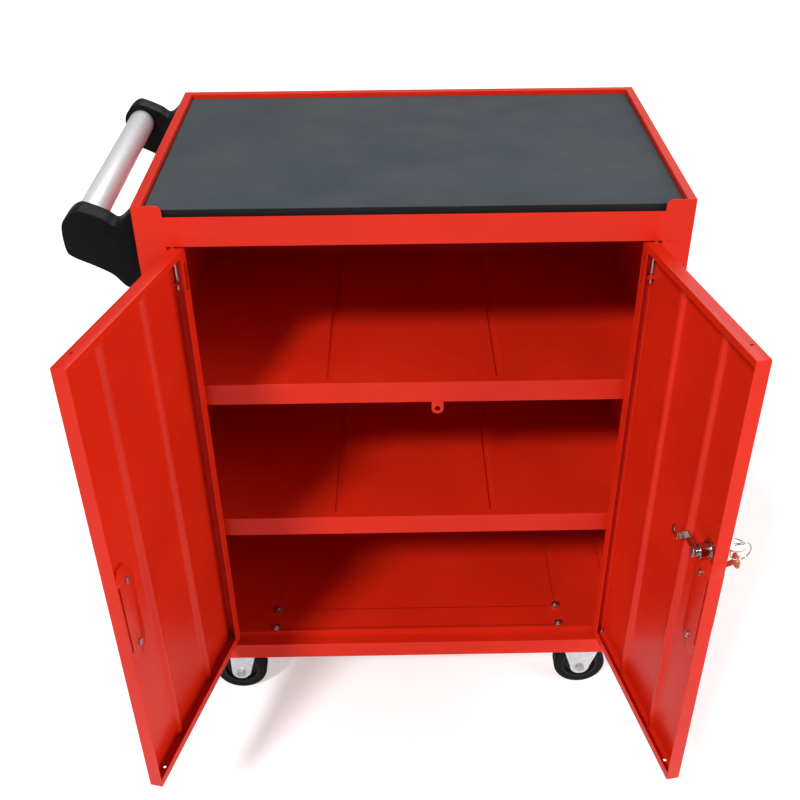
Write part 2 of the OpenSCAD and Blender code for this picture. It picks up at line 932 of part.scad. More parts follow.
// Key in the lock, lying level, with a round bow
module key() {
    color("silver") at_lock() difference() {
        union() {
            block(-key_w / 2, key_w / 2, bow_n, key_in, -key_t / 2, key_t / 2);
            rod_z(0, bow_n, -key_t / 2, key_t / 2, 2 * bow_r);
        }
        rod_z(0, bow_hole_n, -key_t, key_t, bow_hole_d);
        for (i = [0 : 2])
            translate([key_w / 2, 1 + 3.5 * i, -key_t])
                rotate([0, 0, 45])
                cube([1.4, 1.4, 2 * key_t]);
    }
}

// Wire ring through the key's bow
module key_ring() {
    color("silver") placed() on_door(1)
        translate([lock_s, ring_n, ring_z])
        rotate([0, 90, 0])
        rotate_extrude()
        translate([ring_r, 0])
        circle(d = ring_wire);
}

// Second key, hanging tilted from the ring
module spare_key() {
    hole_z = ring_wire / 2 + spare_seat - spare_hole_d / 2;
    bow_z = hole_z + spare_hole_d - spare_bow_r;
    color("khaki") placed() on_door(1)
        translate([lock_s, ring_n, ring_z - ring_r])
        rotate([0, spare_tilt, 0])
        difference() {
            union() {
                rod_y(0, -key_t / 2, key_t / 2, bow_z, 2 * spare_bow_r);
                block(
                    -spare_blade_w / 2, spare_blade_w / 2, -key_t / 2, key_t / 2,
                    bow_z - spare_bow_r - spare_blade, bow_z
                );
            }
            rod_y(0, -key_t, key_t, hole_z, spare_hole_d);
        }
}

// Repeats a shape at every caster
module at_casters() {
    for (x = [fixed_x, swivel_x])
        for (y = caster_ys)
            translate([x, y, 0]) children();
}

module caster_plates() {
    color("silver") placed() difference() {
        at_casters()
            translate([-caster_plate[0] / 2, -caster_plate[1] / 2, plate_z])
            cube(caster_plate);
        caster_bolt_holes(plate_z - past, base_z + past);
    }
}

module caster_bolts() {
    color("silver") placed() at_caster_bolts() {
        translate([0, 0, plate_z - bolt_head_h])
            cylinder(h = bolt_head_h, d = bolt_head_d, $fn = 6);
        rod_z(0, 0, plate_z, floor_z + nut_h + bolt_past_nut, bolt_d);
    }
}

module caster_nuts() {
    color("silver") placed() at_caster_bolts() difference() {
        translate([0, 0, floor_z])
            cylinder(h = nut_h, d = bolt_head_d, $fn = 6);
        rod_z(0, 0, floor_z - past, floor_z + nut_h + past, bolt_d + 2 * free_gap);
    }
}

// Ball race housings under the swivel casters' plates
module swivel_races() {
    color("silver") placed()
        for (y = caster_ys) difference() {
            rod_z(swivel_x, y, disc_z + race_gap, plate_z, 2 * race_r);
            rod_z(swivel_x, y, disc_z + race_gap - past, plate_z - past, 2 * race_bore);
        }
}

// Rivets that the swivel forks turn on
module kingpins() {
    head_top = disc_z - disc_t - race_gap;
    color("silver") placed()
        for (y = caster_ys) {
            rod_z(swivel_x, y, head_top - kingpin_head_h, plate_z - past, kingpin_d);
            rod_z(swivel_x, y, head_top - kingpin_head_h, head_top, kingpin_head_d);
        }
}

// Two fork legs from a flat outline, either side of y
module fork_legs(y) {
    for (i = [-1, 1]) {
        middle = y + i * (fork_w - fork_t) / 2;
        along_y(middle - fork_t / 2, middle + fork_t / 2) children();
    }
}

// Fixed forks of the right-hand casters
module fixed_forks() {
    color("silver") placed()
        for (y = caster_ys) difference() {
            union() {
                block(
                    fixed_x - fork_half, fixed_x + fork_half,
                    y - fork_w / 2, y + fork_w / 2, plate_z - fork_t, plate_z
                );
                fork_legs(y) translate([fixed_x, 0]) {
                    polygon([
                        [-fork_half, plate_z], [fork_half, plate_z],
                        [fork_half, plate_z - fork_shoulder], [fork_foot_r, axle_z],
                        [-fork_foot_r, axle_z], [-fork_half, plate_z - fork_shoulder]
                    ]);
                    translate([0, axle_z]) circle(fork_foot_r);
                }
            }
            rod_y(
                fixed_x, y - fork_w / 2 - past, y + fork_w / 2 + past,
                axle_z, axle_d + 2 * free_gap
            );
        }
}

// Axle bolt with a head on one leg and a nut on the other
module axle_bolt(x, y) {
    rod_y(x, y - fork_w / 2, y + fork_w / 2, axle_z, axle_d);
    translate([x, y - fork_w / 2 - axle_head_h, axle_z])
        rotate([-90, 0, 0])
        cylinder(h = axle_head_h, d = axle_head_d, $fn = 6);
    rod_y(x, y + fork_w / 2, y + fork_w / 2 + axle_head_h, axle_z, axle_head_d);
}

module fixed_axles() {
    color("silver") placed()
        for (y = caster_ys) axle_bolt(fixed_x, y);
}

// Swivel fork: a disc on the kingpin and two legs that reach back to the axle
module swivel_fork(y) {
    axle_x = swivel_x - trail;
    back = fork_foot_r - 1;
    lead = fork_foot_r + 13;
    difference() {
        union() {
            rod_z(swivel_x, y, disc_z - disc_t, disc_z, 2 * disc_r);
            fork_legs(y) translate([axle_x, 0]) {
                polygon([
                    [-back, disc_z], [lead, disc_z], [lead, disc_z - fork_shoulder],
                    [back, axle_z - back / 2], [-back, axle_z]
                ]);
                translate([0, axle_z]) circle(back);
            }
        }
        rod_z(swivel_x, y, disc_z - disc_t - past, disc_z + past, kingpin_d + 2 * run_gap);
        rod_y(
            axle_x, y - fork_w / 2 - past, y + fork_w / 2 + past,
            axle_z, axle_d + 2 * free_gap
        );
    }
}

module front_swivel_fork() {
    color("silver") placed() swivel_fork(caster_ys[0]);
}

module rear_swivel_fork() {
    color("silver") placed() swivel_fork(caster_ys[1]);
}

module front_swivel_axle() {
    color("silver") placed() axle_bolt(swivel_x - trail, caster_ys[0]);
}

module rear_swivel_axle() {
    color("silver") placed() axle_bolt(swivel_x - trail, caster_ys[1]);
}

// Puts a shape turned about Z on a wheel's axle
module on_axle(x, y) {
    translate([x, y, axle_z]) rotate([90, 0, 0]) children();
}

// Wheel hub with a thin web, a rim and a boss round the axle
module hub(x, y) {
    on_axle(x, y) rotate_extrude() difference() {
        union() {
            translate([0, -hub_boss_w / 2]) square([hub_boss_r, hub_boss_w]);
            translate([0, -hub_web_w / 2]) square([hub_r, hub_web_w]);
            translate([hub_r - hub_rim_t, -wheel_w / 2]) square([hub_rim_t, wheel_w]);
        }
        translate([0, -hub_boss_w]) square([axle_d / 2 + run_gap, 2 * hub_boss_w]);
    }
}

// Tyre with rounded tread edges, shrunk onto the hub
module tyre(x, y) {
    outer_r = wheel_d / 2;
    on_axle(x, y) rotate_extrude() {
        translate([hub_r, -wheel_w / 2]) square([outer_r - tread_r - hub_r, wheel_w]);
        translate([hub_r, tread_r - wheel_w / 2]) square([outer_r - hub_r, wheel_w - 2 * tread_r]);
        for (i = [-1, 1])
            translate([outer_r - tread_r, i * (wheel_w / 2 - tread_r)]) circle(tread_r);
    }
}

module front_left_hub() {
    color("black") placed() hub(swivel_x - trail, caster_ys[0]);
}

module front_left_tyre() {
    color("black") placed() tyre(swivel_x - trail, caster_ys[0]);
}

module rear_left_hub() {
    color("black") placed() hub(swivel_x - trail, caster_ys[1]);
}

module rear_left_tyre() {
    color("black") placed() tyre(swivel_x - trail, caster_ys[1]);
}

module front_right_hub() {
    color("black") placed() hub(fixed_x, caster_ys[0]);
}

module front_right_tyre() {
    color("black") placed() tyre(fixed_x, caster_ys[0]);
}

module rear_right_hub() {
    color("black") placed() hub(fixed_x, caster_ys[1]);
}

module rear_right_tyre() {
    color("black") placed() tyre(fixed_x, caster_ys[1]);
}

left_side_panel();
right_side_panel();
back_panel();
floor_pan();
floor_channels();
worktop_tray();
worktop_mat();
upper_shelf();
lower_shelf();
shelf_brackets();
catch_tab();
handle_arms();
handle_tube();
handle_bolts();
left_door_leaf();
left_hinge_pins();
left_pull();
left_pull_plate();
left_pull_screws();
right_door_leaf();
right_hinge_pins();
right_pull();
right_pull_plate();
right_pull_screws();
lock_barrel();
lock_nut();
lock_strap();
lock_plug();
lock_cam();
cam_bolt();
key();
key_ring();
spare_key();
caster_plates();
caster_bolts();
caster_nuts();
swivel_races();
kingpins();
fixed_forks();
fixed_axles();
front_swivel_fork();
front_swivel_axle();
rear_swivel_fork();
rear_swivel_axle();
front_left_hub();
front_left_tyre();
rear_left_hub();
rear_left_tyre();
front_right_hub();
front_right_tyre();
rear_right_hub();
rear_right_tyre();
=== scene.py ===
import json
import math
import bmesh
import bpy
from mathutils import Matrix, Vector

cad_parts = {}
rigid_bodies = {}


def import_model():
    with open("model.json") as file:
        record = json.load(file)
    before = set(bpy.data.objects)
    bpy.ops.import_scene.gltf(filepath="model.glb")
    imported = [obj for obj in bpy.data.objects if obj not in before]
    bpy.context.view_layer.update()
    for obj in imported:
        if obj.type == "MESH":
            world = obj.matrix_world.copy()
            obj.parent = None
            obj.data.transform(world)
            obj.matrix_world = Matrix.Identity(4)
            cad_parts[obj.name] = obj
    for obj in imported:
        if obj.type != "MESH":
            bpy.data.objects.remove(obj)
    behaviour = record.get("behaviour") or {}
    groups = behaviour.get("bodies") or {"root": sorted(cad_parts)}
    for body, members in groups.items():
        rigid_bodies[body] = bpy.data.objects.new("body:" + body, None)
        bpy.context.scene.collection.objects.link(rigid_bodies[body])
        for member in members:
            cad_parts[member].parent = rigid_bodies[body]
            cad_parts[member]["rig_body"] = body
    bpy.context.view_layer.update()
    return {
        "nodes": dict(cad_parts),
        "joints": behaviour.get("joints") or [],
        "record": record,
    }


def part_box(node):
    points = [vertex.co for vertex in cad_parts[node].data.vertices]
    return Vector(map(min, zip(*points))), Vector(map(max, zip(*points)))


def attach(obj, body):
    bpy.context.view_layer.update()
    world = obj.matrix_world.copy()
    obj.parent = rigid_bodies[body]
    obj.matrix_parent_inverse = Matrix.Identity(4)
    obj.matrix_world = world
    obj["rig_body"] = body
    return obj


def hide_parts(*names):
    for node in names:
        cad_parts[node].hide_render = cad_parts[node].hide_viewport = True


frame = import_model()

mm = 0.001
scene = bpy.context.scene


# camera

view = {
    "lens": 48.6, "sensor": 36, "shift": (-0.015, 0.125), "clip": (0.05, 30),
    "place": (-0.00752, -1.16177, 1.2168), "turn": (52.502, 0.3746, -0.959),
}
cameraData = bpy.data.cameras.new("Camera")
cameraData.lens = view["lens"]
cameraData.sensor_width = view["sensor"]
cameraData.shift_x, cameraData.shift_y = view["shift"]
cameraData.clip_start, cameraData.clip_end = view["clip"]
camera = bpy.data.objects.new("Camera", cameraData)
camera.location = view["place"]
camera.rotation_euler = [math.radians(angle) for angle in view["turn"]]
scene.collection.objects.link(camera)
scene.camera = camera
scene.view_settings.view_transform = "Standard"


# lamps: direction towards each one, strength, apparent size in degrees

lamps = {
    "Key": ((-0.6, -1.0, 1.0), 2.45, 9),
    "Fill": ((1.0, -0.4, 0.45), 2.0, 50),
    "Back": ((0.3, 1.0, 1.1), 1.1, 40),
}
lampDistance = 3
for name, (towards, power, spread) in lamps.items():
    lampData = bpy.data.lights.new(name, "SUN")
    lampData.energy = power
    lampData.angle = math.radians(spread)
    lampObject = bpy.data.objects.new(name, lampData)
    lampObject.location = [lampDistance * value for value in towards]
    lampObject.rotation_euler = (-lampObject.location).to_track_quat("-Z", "Y").to_euler()
    scene.collection.objects.link(lampObject)


def addNode(tree, kind, inputs=None, **settings):
    made = tree.nodes.new("ShaderNode" + kind)
    for key, value in settings.items():
        setattr(made, key, value)
    for key, value in (inputs or {}).items():
        made.inputs[key].default_value = value
    return made


def join(tree, *pairs):
    for source, target in pairs:
        tree.links.new(source, target)


# the room lights softly and is seen as plain white

white = (1, 1, 1, 1)
room = {"light": 0.17, "seen": 1.0}
world = bpy.data.worlds.new("World")
world.use_nodes = True
scene.world = world
worldTree = world.node_tree
backdrop = worldTree.nodes["Background"]
backdrop.inputs["Color"].default_value = white
backdrop.inputs["Strength"].default_value = room["light"]
seenBackdrop = addNode(worldTree, "Background", {"Color": white, "Strength": room["seen"]})
worldPath = addNode(worldTree, "LightPath")
worldPick = addNode(worldTree, "MixShader")
join(
    worldTree,
    (worldPath.outputs["Is Camera Ray"], worldPick.inputs["Fac"]),
    (backdrop.outputs[0], worldPick.inputs[1]),
    (seenBackdrop.outputs[0], worldPick.inputs[2]),
    (worldPick.outputs[0], worldTree.nodes["World Output"].inputs["Surface"]),
)


# the floor takes the shadow and glows a little where the camera sees it

ground = {"size": 14, "base": (0.8, 0.8, 0.8, 1), "rough": 0.9, "shine": 0.1, "glow": 0.42}
bpy.ops.object.select_all(action="DESELECT")
bpy.ops.mesh.primitive_plane_add(size=ground["size"], location=(0, 0, 0))
floor = bpy.context.object
floor.name = "floor"
floorMaterial = bpy.data.materials.new("Pale floor")
floorMaterial.use_nodes = True
floorTree = floorMaterial.node_tree
floorShader = floorTree.nodes["Principled BSDF"]
floorShader.inputs["Base Color"].default_value = ground["base"]
floorShader.inputs["Roughness"].default_value = ground["rough"]
floorShader.inputs["Specular IOR Level"].default_value = ground["shine"]
floorGlow = addNode(floorTree, "Emission", {"Color": white, "Strength": ground["glow"]})
floorSum = addNode(floorTree, "AddShader")
floorPick = addNode(floorTree, "MixShader")
floorPath = addNode(floorTree, "LightPath")
join(
    floorTree,
    (floorShader.outputs[0], floorSum.inputs[0]),
    (floorGlow.outputs[0], floorSum.inputs[1]),
    (floorPath.outputs["Is Camera Ray"], floorPick.inputs["Fac"]),
    (floorShader.outputs[0], floorPick.inputs[1]),
    (floorSum.outputs[0], floorPick.inputs[2]),
    (floorPick.outputs[0], floorTree.nodes["Material Output"].inputs["Surface"]),
)
floor.data.materials.append(floorMaterial)


# node groups: edge wear that also carries a painted edge highlight, dust, scratches, painted shade
# on side faces and one surface grain per kind of stuff

def startGroup(name, inputs, outputs):
    tree = bpy.data.node_groups.new(name, "ShaderNodeTree")
    floatSocket = "NodeSocketFloat"
    for label, value in inputs.items():
        socket = tree.interface.new_socket(name=label, in_out="INPUT", socket_type=floatSocket)
        socket.default_value = value
    for label in outputs:
        tree.interface.new_socket(name=label, in_out="OUTPUT", socket_type=floatSocket)
    return tree, tree.nodes.new("NodeGroupInput"), tree.nodes.new("NodeGroupOutput")


def ramp(tree, source, low, high, start=0.0, end=1.0):
    limits = {"From Min": low, "From Max": high, "To Min": start, "To Max": end}
    spread = addNode(tree, "MapRange", limits)
    join(tree, (source, spread.inputs["Value"]))
    return spread.outputs["Result"]


def combine(tree, operation, first, second):
    made = addNode(tree, "Math", operation=operation)
    for slot, value in ((0, first), (1, second)):
        if isinstance(value, (int, float)):
            made.inputs[slot].default_value = value
        else:
            join(tree, (value, made.inputs[slot]))
    return made.outputs[0]


def objectPoint(tree, stretch=(1, 1, 1), turn=(0, 0, 0)):
    point = addNode(tree, "TexCoord").outputs["Object"]
    mapping = addNode(tree, "Mapping", {"Scale": stretch, "Rotation": turn})
    join(tree, (point, mapping.inputs["Vector"]))
    return mapping.outputs["Vector"]


def upward(tree):
    normal = addNode(tree, "NewGeometry").outputs["Normal"]
    parts = addNode(tree, "SeparateXYZ")
    join(tree, (normal, parts.inputs[0]))
    return parts.outputs["Z"]


def noise(tree, point, scale, detail=2.0, rough=0.5):
    made = addNode(tree, "TexNoise", {"Scale": scale, "Detail": detail, "Roughness": rough})
    join(tree, (point, made.inputs["Vector"]))
    return made.outputs["Fac"]


def cells(tree, point, scale, feature="F1", output="Distance"):
    made = addNode(tree, "TexVoronoi", {"Scale": scale}, feature=feature)
    join(tree, (point, made.inputs["Vector"]))
    return made.outputs[output]


# edges turn towards a lighter colour: wear, and on the red paint also a painted highlight along
# the folded edges
def edgeWearAndHighlightGroup():
    tree, given, out = startGroup("Edge wear and painted highlight", {"Width": 0.0012, "Amount": 0.6}, ["Mask"])
    rounded = addNode(tree, "Bevel", samples=4)
    plain = addNode(tree, "NewGeometry")
    dot = addNode(tree, "VectorMath", operation="DOT_PRODUCT")
    join(
        tree,
        (given.outputs["Width"], rounded.inputs["Radius"]),
        (rounded.outputs[0], dot.inputs[0]),
        (plain.outputs["Normal"], dot.inputs[1]),
    )
    edge = ramp(tree, dot.outputs["Value"], low=0.995, high=0.86)
    point = objectPoint(tree)
    broken = ramp(tree, noise(tree, point, scale=45, detail=5, rough=0.65), low=0.42, high=0.66)
    fine = ramp(tree, noise(tree, point, scale=420, detail=3), low=0.35, high=0.6)
    mask = combine(tree, "MULTIPLY", edge, combine(tree, "MULTIPLY", broken, fine))
    mask = combine(tree, "MULTIPLY", mask, given.outputs["Amount"])
    join(tree, (mask, out.inputs["Mask"]))
    return tree


def dustGroup():
    tree, given, out = startGroup("Settled dust", {"Amount": 0.3}, ["Mask"])
    speckShare = 0.6
    facing = ramp(tree, upward(tree), low=0.2, high=0.98)
    point = objectPoint(tree)
    clouds = ramp(tree, noise(tree, point, scale=11, detail=5, rough=0.6), low=0.35, high=0.75)
    specks = ramp(tree, noise(tree, point, scale=1300), low=0.6, high=0.8)
    both = combine(tree, "ADD", clouds, combine(tree, "MULTIPLY", specks, speckShare))
    mask = combine(tree, "MULTIPLY", facing, both)
    mask = combine(tree, "MULTIPLY", mask, given.outputs["Amount"])
    join(tree, (mask, out.inputs["Mask"]))
    return tree


def scratchGroup():
    tree, given, out = startGroup("Hair scratches", {"Amount": 0.3}, ["Mask"])
    lean, patchShare, total = 0.3, 0.6, 0.0
    for turn, scale in ((0.5, 16), (-0.9, 23)):
        point = objectPoint(tree, stretch=(1, 1, 0.35), turn=(turn, lean, turn))
        line = ramp(tree, cells(tree, point, scale, "DISTANCE_TO_EDGE"), low=0.009, high=0.003)
        patch = ramp(tree, noise(tree, point, scale * patchShare, detail=3), low=0.54, high=0.62)
        total = combine(tree, "ADD", combine(tree, "MULTIPLY", line, patch), total)
    mask = combine(tree, "MULTIPLY", total, given.outputs["Amount"])
    join(tree, (mask, out.inputs["Mask"]))
    return tree


# painted shade: faces that do not face up turn towards a given dark colour, standing in for the
# shade on the mat's sides
def cutSideGroup():
    tree, given, out = startGroup("Painted side shade", {}, ["Mask"])
    grit = noise(tree, objectPoint(tree), scale=300, detail=3)
    ragged = ramp(tree, grit, low=0.3, high=0.7, start=-0.06, end=0.06)
    tilt = combine(tree, "ADD", upward(tree), ragged)
    join(tree, (ramp(tree, tilt, low=0.85, high=0.55), out.inputs["Mask"]))
    return tree


def finishGrain(name, make):
    tree, given, out = startGroup(name, {}, ["Tone", "Rough", "Height"])
    for label, value in zip(("Tone", "Rough", "Height"), make(tree, objectPoint(tree))):
        join(tree, (value, out.inputs[label]))
    return tree


def peelGrain(tree, point):
    tone = ramp(tree, noise(tree, point, scale=7, detail=4, rough=0.55), low=0.3, high=0.7)
    rough = ramp(tree, noise(tree, point, scale=60, detail=5, rough=0.6), low=0.3, high=0.7)
    return tone, rough, noise(tree, point, scale=620, detail=2, rough=0.4)


def foamGrain(tree, point):
    bubbles = cells(tree, point, scale=900)
    fine = noise(tree, point, scale=2600, detail=2, rough=0.6)
    clouds = ramp(tree, noise(tree, point, scale=9, detail=4), low=0.25, high=0.75, start=0.82)
    tone = combine(tree, "MULTIPLY", ramp(tree, fine, low=0.3, high=0.7), clouds)
    rough = ramp(tree, noise(tree, point, scale=24, detail=4), low=0.3, high=0.7)
    return tone, rough, combine(tree, "ADD", bubbles, fine)


def spangleGrain(tree, point):
    flake = addNode(tree, "SeparateColor")
    join(tree, (cells(tree, point, scale=260, output="Color"), flake.inputs[0]))
    clouds = ramp(tree, noise(tree, point, scale=30, detail=4), low=0.2, high=0.8, start=0.5)
    tone = combine(tree, "MULTIPLY", flake.outputs[0], clouds)
    fine, coarse = (noise(tree, point, scale, detail=3) for scale in (500, 60))
    return tone, flake.outputs[1], combine(tree, "ADD", fine, coarse)


def brushedGrain(tree, point):
    drawn = objectPoint(tree, stretch=(0.04, 1, 1))
    streaks = noise(tree, drawn, scale=2400, detail=3, rough=0.6)
    clouds = ramp(tree, noise(tree, point, scale=14, detail=4), low=0.2, high=0.8, start=0.6)
    tone = combine(tree, "MULTIPLY", ramp(tree, streaks, low=0.3, high=0.7), clouds)
    return tone, ramp(tree, streaks, low=0.2, high=0.8), streaks


def mouldedGrain(tree, point):
    pebbles = cells(tree, point, scale=1500, feature="SMOOTH_F1")
    tone = ramp(tree, noise(tree, point, scale=28, detail=4, rough=0.6), low=0.3, high=0.7)
    rough = ramp(tree, noise(tree, point, scale=110, detail=4), low=0.3, high=0.7)
    return tone, rough, combine(tree, "ADD", pebbles, noise(tree, point, scale=300, detail=2))


def castGrain(tree, point):
    tone = ramp(tree, noise(tree, point, scale=180, detail=5, rough=0.65), low=0.3, high=0.7)
    rough = ramp(tree, noise(tree, point, scale=420, detail=4), low=0.3, high=0.7)
    return tone, rough, noise(tree, point, scale=900, detail=4, rough=0.6)


groups = {
    "wear_and_highlight": edgeWearAndHighlightGroup(),
    "dust": dustGroup(),
    "scratch": scratchGroup(),
    "cutSide": cutSideGroup(),
    "peel": finishGrain("Paint orange peel", peelGrain),
    "foam": finishGrain("Foam bubbles", foamGrain),
    "spangle": finishGrain("Zinc spangle", spangleGrain),
    "brushed": finishGrain("Drawn metal", brushedGrain),
    "moulded": finishGrain("Moulded grain", mouldedGrain),
    "cast": finishGrain("Pressed metal", castGrain),
}


# one material for each slot of the record

looks = {
    "red_paint": {
        "grain": "peel", "base": (0.7, 0.022, 0.005), "shade": (0.62, 0.016, 0.004),
        # the lighter red on edges and scratches is wear plus a painted highlight standing in for
        # the gloss along the folds
        "worn_and_highlight_colour": (0.85, 0.16, 0.1), "rough": (0.31, 0.35), "bump": (0.08, 0.00003), "metallic": 0,
        "wear_and_highlight": (0.0009, 0.15), "dust": 0.01, "scratch": 0.012, "coat": 0, "shine": 0.24,
    },
    "mat": {
        "grain": "foam", "base": (0.064, 0.076, 0.087), "shade": (0.04, 0.048, 0.056),
        # near-black painted shade on the mat's side faces
        "cut": (0.006, 0.007, 0.008),
        "worn_and_highlight_colour": (0.16, 0.17, 0.18), "rough": (0.78, 0.95), "bump": (0.6, 0.00025), "metallic": 0,
        "wear_and_highlight": (0.0015, 0.2), "dust": 0.04, "scratch": 0.03, "coat": 0, "shine": 0.25,
    },
    "black_plastic": {
        "grain": "moulded", "base": (0.004, 0.004, 0.0045), "shade": (0.002, 0.002, 0.0025),
        "worn_and_highlight_colour": (0.06, 0.06, 0.06), "rough": (0.38, 0.55), "bump": (0.45, 0.00008), "metallic": 0,
        "wear_and_highlight": (0.0012, 0.25), "dust": 0.015, "scratch": 0.04, "coat": 0, "shine": 0.12,
    },
    "tube": {
        "grain": "brushed", "base": (0.84, 0.84, 0.86), "shade": (0.76, 0.76, 0.78),
        "worn_and_highlight_colour": (0.9, 0.9, 0.9), "rough": (0.26, 0.38), "bump": (0.12, 0.00003), "metallic": 0.2,
        "wear_and_highlight": (0.001, 0.3), "dust": 0.05, "scratch": 0.3, "coat": 0,
    },
    "fasteners": {
        "grain": "cast", "base": (0.62, 0.62, 0.64), "shade": (0.42, 0.42, 0.44),
        "worn_and_highlight_colour": (0.85, 0.85, 0.85), "rough": (0.25, 0.42), "bump": (0.25, 0.00004), "metallic": 1,
        "wear_and_highlight": (0.0006, 0.6), "dust": 0.05, "scratch": 0.3, "coat": 0,
    },
    "zinc": {
        "grain": "spangle", "base": (0.8, 0.82, 0.84), "shade": (0.6, 0.62, 0.65),
        "worn_and_highlight_colour": (0.86, 0.86, 0.86), "rough": (0.28, 0.42), "bump": (0.15, 0.00003),
        "metallic": 0.5,
        "wear_and_highlight": (0.0009, 0.4), "dust": 0.05, "scratch": 0.1, "coat": 0,
    },
    "lock_chrome": {
        "grain": "cast", "base": (0.6, 0.58, 0.54), "shade": (0.48, 0.46, 0.43),
        "worn_and_highlight_colour": (0.95, 0.95, 0.95), "rough": (0.1, 0.24), "bump": (0.12, 0.00002), "metallic": 1,
        "wear_and_highlight": (0.0006, 0.4), "dust": 0.02, "scratch": 0.3, "coat": 0,
    },
    "nickel": {
        "grain": "cast", "base": (0.8, 0.68, 0.46), "shade": (0.62, 0.52, 0.34),
        "worn_and_highlight_colour": (0.9, 0.86, 0.76), "rough": (0.24, 0.4), "bump": (0.2, 0.00003), "metallic": 0.55,
        "wear_and_highlight": (0.0006, 0.4), "dust": 0.02, "scratch": 0.2, "coat": 0,
    },
    "wheel_core": {
        "grain": "moulded", "base": (0.01, 0.01, 0.011), "shade": (0.006, 0.006, 0.007),
        "worn_and_highlight_colour": (0.07, 0.07, 0.07), "rough": (0.3, 0.45), "bump": (0.35, 0.00006), "metallic": 0,
        "wear_and_highlight": (0.001, 0.2), "dust": 0.02, "scratch": 0.04, "coat": 0, "shine": 0.2,
    },
    "tread": {
        "grain": "cast", "base": (0.005, 0.005, 0.005), "shade": (0.009, 0.009, 0.009),
        "worn_and_highlight_colour": (0.05, 0.05, 0.048), "rough": (0.4, 0.6), "bump": (0.25, 0.00005), "metallic": 0,
        "wear_and_highlight": (0.0015, 0.15), "dust": 0.015, "scratch": 0.03, "coat": 0, "shine": 0.1,
    },
}
dustColour = (0.42, 0.4, 0.37, 1)
plainShine, coatRough, rubbedRough, dustRough = 0.5, 0.12, 0.12, 0.5


def placeGroup(tree, name, **inputs):
    made = tree.nodes.new("ShaderNodeGroup")
    made.node_tree = groups[name]
    for key, value in inputs.items():
        made.inputs[key].default_value = value
    return made


def mixColour(tree, mask, first, second):
    made = addNode(tree, "Mix", data_type="RGBA")
    join(tree, (mask, made.inputs[0]))
    for slot, value in ((6, first), (7, second)):
        if isinstance(value, tuple):
            made.inputs[slot].default_value = (*value[:3], 1)
        else:
            join(tree, (value, made.inputs[slot]))
    return made.outputs[2]


def makeMaterial(name, look):
    material = bpy.data.materials.new(name)
    material.use_nodes = True
    material.diffuse_color = (*look["base"], 1)
    tree = material.node_tree
    shader = tree.nodes["Principled BSDF"]
    shader.inputs["Metallic"].default_value = look["metallic"]
    shader.inputs["Coat Weight"].default_value = look["coat"]
    shader.inputs["Specular IOR Level"].default_value = look.get("shine", plainShine)
    shader.inputs["Coat Roughness"].default_value = coatRough
    grain = placeGroup(tree, look["grain"])
    wear_and_highlight = placeGroup(tree, "wear_and_highlight", Width=look["wear_and_highlight"][0], Amount=look["wear_and_highlight"][1])
    dust = placeGroup(tree, "dust", Amount=look["dust"]).outputs["Mask"]
    scratch = placeGroup(tree, "scratch", Amount=look["scratch"])
    rubbedAndHighlight = combine(tree, "MAXIMUM", wear_and_highlight.outputs["Mask"], scratch.outputs["Mask"])
    colour = mixColour(tree, grain.outputs["Tone"], look["shade"], look["base"])
    # painted shade on the side faces
    if "cut" in look:
        cutSide = placeGroup(tree, "cutSide").outputs["Mask"]
        colour = mixColour(tree, cutSide, colour, look["cut"])
    # worn edges and scratches; on the red paint this is also a painted edge highlight
    colour = mixColour(tree, rubbedAndHighlight, colour, look["worn_and_highlight_colour"])
    colour = mixColour(tree, dust, colour, dustColour)
    rough = ramp(tree, grain.outputs["Rough"], 0, 1, *look["rough"])
    rough = combine(tree, "ADD", rough, combine(tree, "MULTIPLY", rubbedAndHighlight, rubbedRough))
    rough = combine(tree, "ADD", rough, combine(tree, "MULTIPLY", dust, dustRough))
    height = combine(tree, "SUBTRACT", grain.outputs["Height"], rubbedAndHighlight)
    bump = addNode(tree, "Bump", {"Strength": look["bump"][0], "Distance": look["bump"][1]})
    join(
        tree,
        (colour, shader.inputs["Base Color"]),
        (rough, shader.inputs["Roughness"]),
        (height, bump.inputs["Height"]),
        (bump.outputs["Normal"], shader.inputs["Normal"]),
    )
    return material


materials = {slot: makeMaterial(slot, look) for slot, look in looks.items()}
slotOf = {part["node"]: part["material_slot"] for part in frame["record"]["subparts"]}
for name, cadNode in frame["nodes"].items():
    cadNode.data.materials.clear()
    cadNode.data.materials.append(materials[slotOf[name]])
print("stage: light and materials")


# modelling helpers

def only(piece):
    if bpy.context.mode != "OBJECT":
        bpy.ops.object.mode_set(mode="OBJECT")
    bpy.ops.object.select_all(action="DESELECT")
    piece.select_set(True)
    bpy.context.view_layer.objects.active = piece


def edit(piece):
    only(piece)
    bpy.ops.object.mode_set(mode="EDIT")
    bpy.ops.mesh.select_all(action="DESELECT")


def pick(piece, kind, test):
    bpy.ops.mesh.select_mode(type=kind)
    bpy.ops.mesh.select_all(action="DESELECT")
    mesh = bmesh.from_edit_mesh(piece.data)
    mesh.normal_update()
    for part in {"VERT": mesh.verts, "EDGE": mesh.edges, "FACE": mesh.faces}[kind]:
        if test(part):
            part.select_set(True)
    mesh.select_flush_mode()
    bmesh.update_edit_mesh(piece.data)


def bend(edge):
    return math.degrees(edge.calc_face_angle(0)) if len(edge.link_faces) == 2 else 0


def narrow(edge):
    return min(face.calc_area() for face in edge.link_faces) / edge.calc_length()


def applied(piece, kind, **settings):
    only(piece)
    modifier = piece.modifiers.new(kind.title(), kind)
    for key, value in settings.items():
        setattr(modifier, key, value)
    bpy.ops.object.modifier_apply(modifier=modifier.name)


def smooth(piece):
    only(piece)
    bpy.ops.object.shade_smooth_by_angle(angle=math.radians(smoothBelow))


